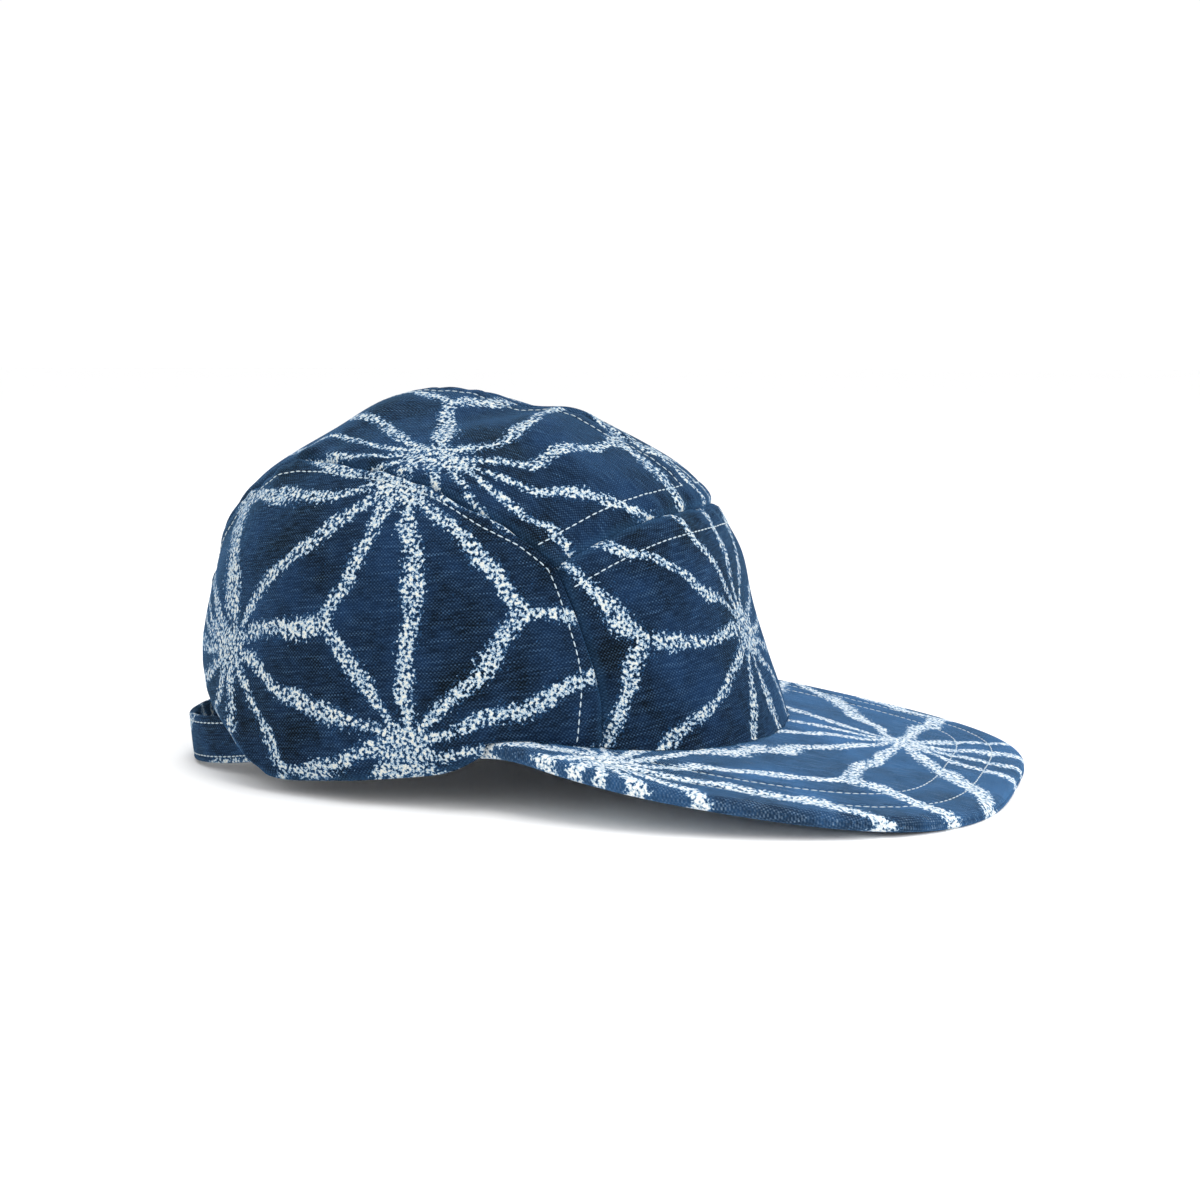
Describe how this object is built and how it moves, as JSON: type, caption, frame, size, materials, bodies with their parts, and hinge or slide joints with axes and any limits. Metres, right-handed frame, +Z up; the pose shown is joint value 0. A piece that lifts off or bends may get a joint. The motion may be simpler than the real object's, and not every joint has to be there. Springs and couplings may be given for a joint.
{
  "type": "five-panel cap",
  "caption": "Soft cloth cap with a low panelled crown, a flat stiff peak and a cloth strap across the rear opening.",
  "frame": {"origin": "under the middle of the cap's bounding box, on the floor it rests on", "axes": "+Z up; -Y the way the peak points; +X the wearer's left"},
  "size_m": [0.178, 0.268, 0.1177],
  "materials": {
    "printed_cloth": "matte slubbed plain weave, indigo with an off-white resist print",
    "peak_cloth": "matte slubbed plain weave over a stiff board, indigo with an off-white resist print"
  },
  "bodies": {
    "root": {"front_panel": "printed_cloth", "top_panel_right": "printed_cloth", "top_panel_left": "printed_cloth", "side_panel_right": "printed_cloth", "side_panel_left": "printed_cloth", "peak": "peak_cloth", "back_strap": "printed_cloth"}
  },
  "joints": []
}
